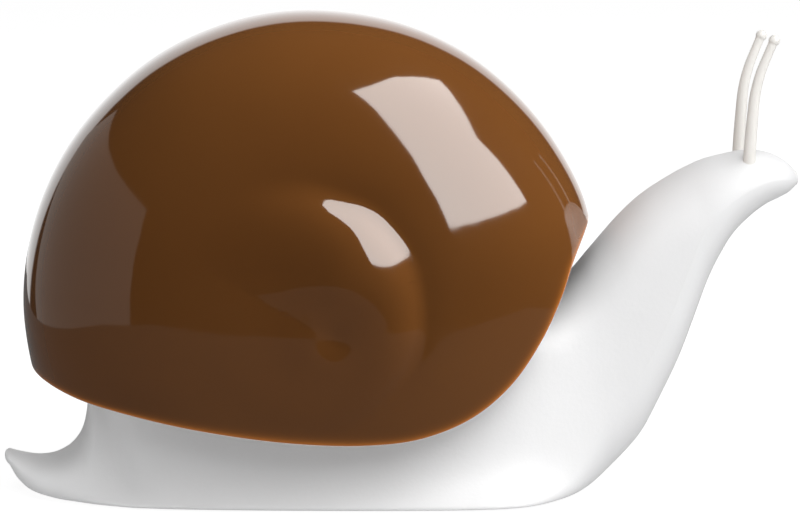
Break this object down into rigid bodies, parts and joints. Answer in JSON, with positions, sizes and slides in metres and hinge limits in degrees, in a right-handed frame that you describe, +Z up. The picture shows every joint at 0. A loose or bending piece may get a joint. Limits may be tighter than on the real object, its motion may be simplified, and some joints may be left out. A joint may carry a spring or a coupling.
{
  "type": "soap dispenser",
  "caption": "Snail-shaped press dispenser for liquid soap: a glossy brown shell presses a pump in the white body, which feeds the mouth through a hose.",
  "frame": {"origin": "on the table, under the middle of the overall length and width", "axes": "+X towards the snail's head, +Y to its left, +Z up"},
  "size_m": [0.21, 0.096, 0.1269],
  "materials": {
    "shell": "polished dark brown",
    "body": "matt off-white",
    "tentacle": "matt warm ivory",
    "inner_white": "satin moulded",
    "clear": "frosted translucent",
    "silicone": "soft satin",
    "rubber": "matt",
    "steel": "bright drawn"
  },
  "bodies": {
    "base": {"body_shell": "body", "base_plate": "inner_white", "base_screw_1": "steel", "base_screw_2": "steel", "base_screw_3": "steel", "base_screw_4": "steel", "foot_pad_1": "rubber", "foot_pad_2": "rubber", "foot_pad_3": "rubber", "foot_pad_4": "rubber", "tank": "clear", "pump_gasket": "rubber", "pump_housing": "clear", "pump_insert": "inner_white", "valve_cage": "inner_white", "dip_tube": "clear", "pump_spring": "steel", "hose": "silicone", "mouth_nozzle": "silicone", "tentacle_left": "tentacle", "tentacle_right": "tentacle"},
    "collar": {"pump_collar": "inner_white"},
    "inlet_ball": {"inlet_ball": "steel"},
    "plunger": {"pump_stem": "inner_white", "pump_piston": "silicone", "actuator": "inner_white"},
    "outlet_ball": {"outlet_ball": "steel"},
    "shell": {"shell_cover": "shell", "shell_carrier": "inner_white", "carrier_screw_1": "steel", "carrier_screw_2": "steel", "carrier_screw_3": "steel", "carrier_screw_4": "steel"}
  },
  "joints": [
    {"name": "pump_press", "type": "slide", "parent": "base", "child": "plunger", "axis": [0, 0, 1], "range_m": [-0.01, 0], "stiffness_N_per_m": 500, "springref_m": 0.011, "deforming": ["pump_spring", "hose"]},
    {"name": "shell_lift", "type": "slide", "parent": "plunger", "child": "shell", "axis": [0, 0, 1], "range_m": [0, 0.065]},
    {"name": "collar_turn", "type": "hinge", "parent": "base", "child": "collar", "pos_m": [-0.026, 0, 0.055], "axis": [0, 0, 1], "range_deg": [0, 90]},
    {"name": "inlet_ball_lift", "type": "slide", "parent": "base", "child": "inlet_ball", "axis": [0, 0, 1], "range_m": [0, 0.0025]},
    {"name": "outlet_ball_lift", "type": "slide", "parent": "plunger", "child": "outlet_ball", "axis": [0, 0, 1], "range_m": [0, 0.001]}
  ]
}
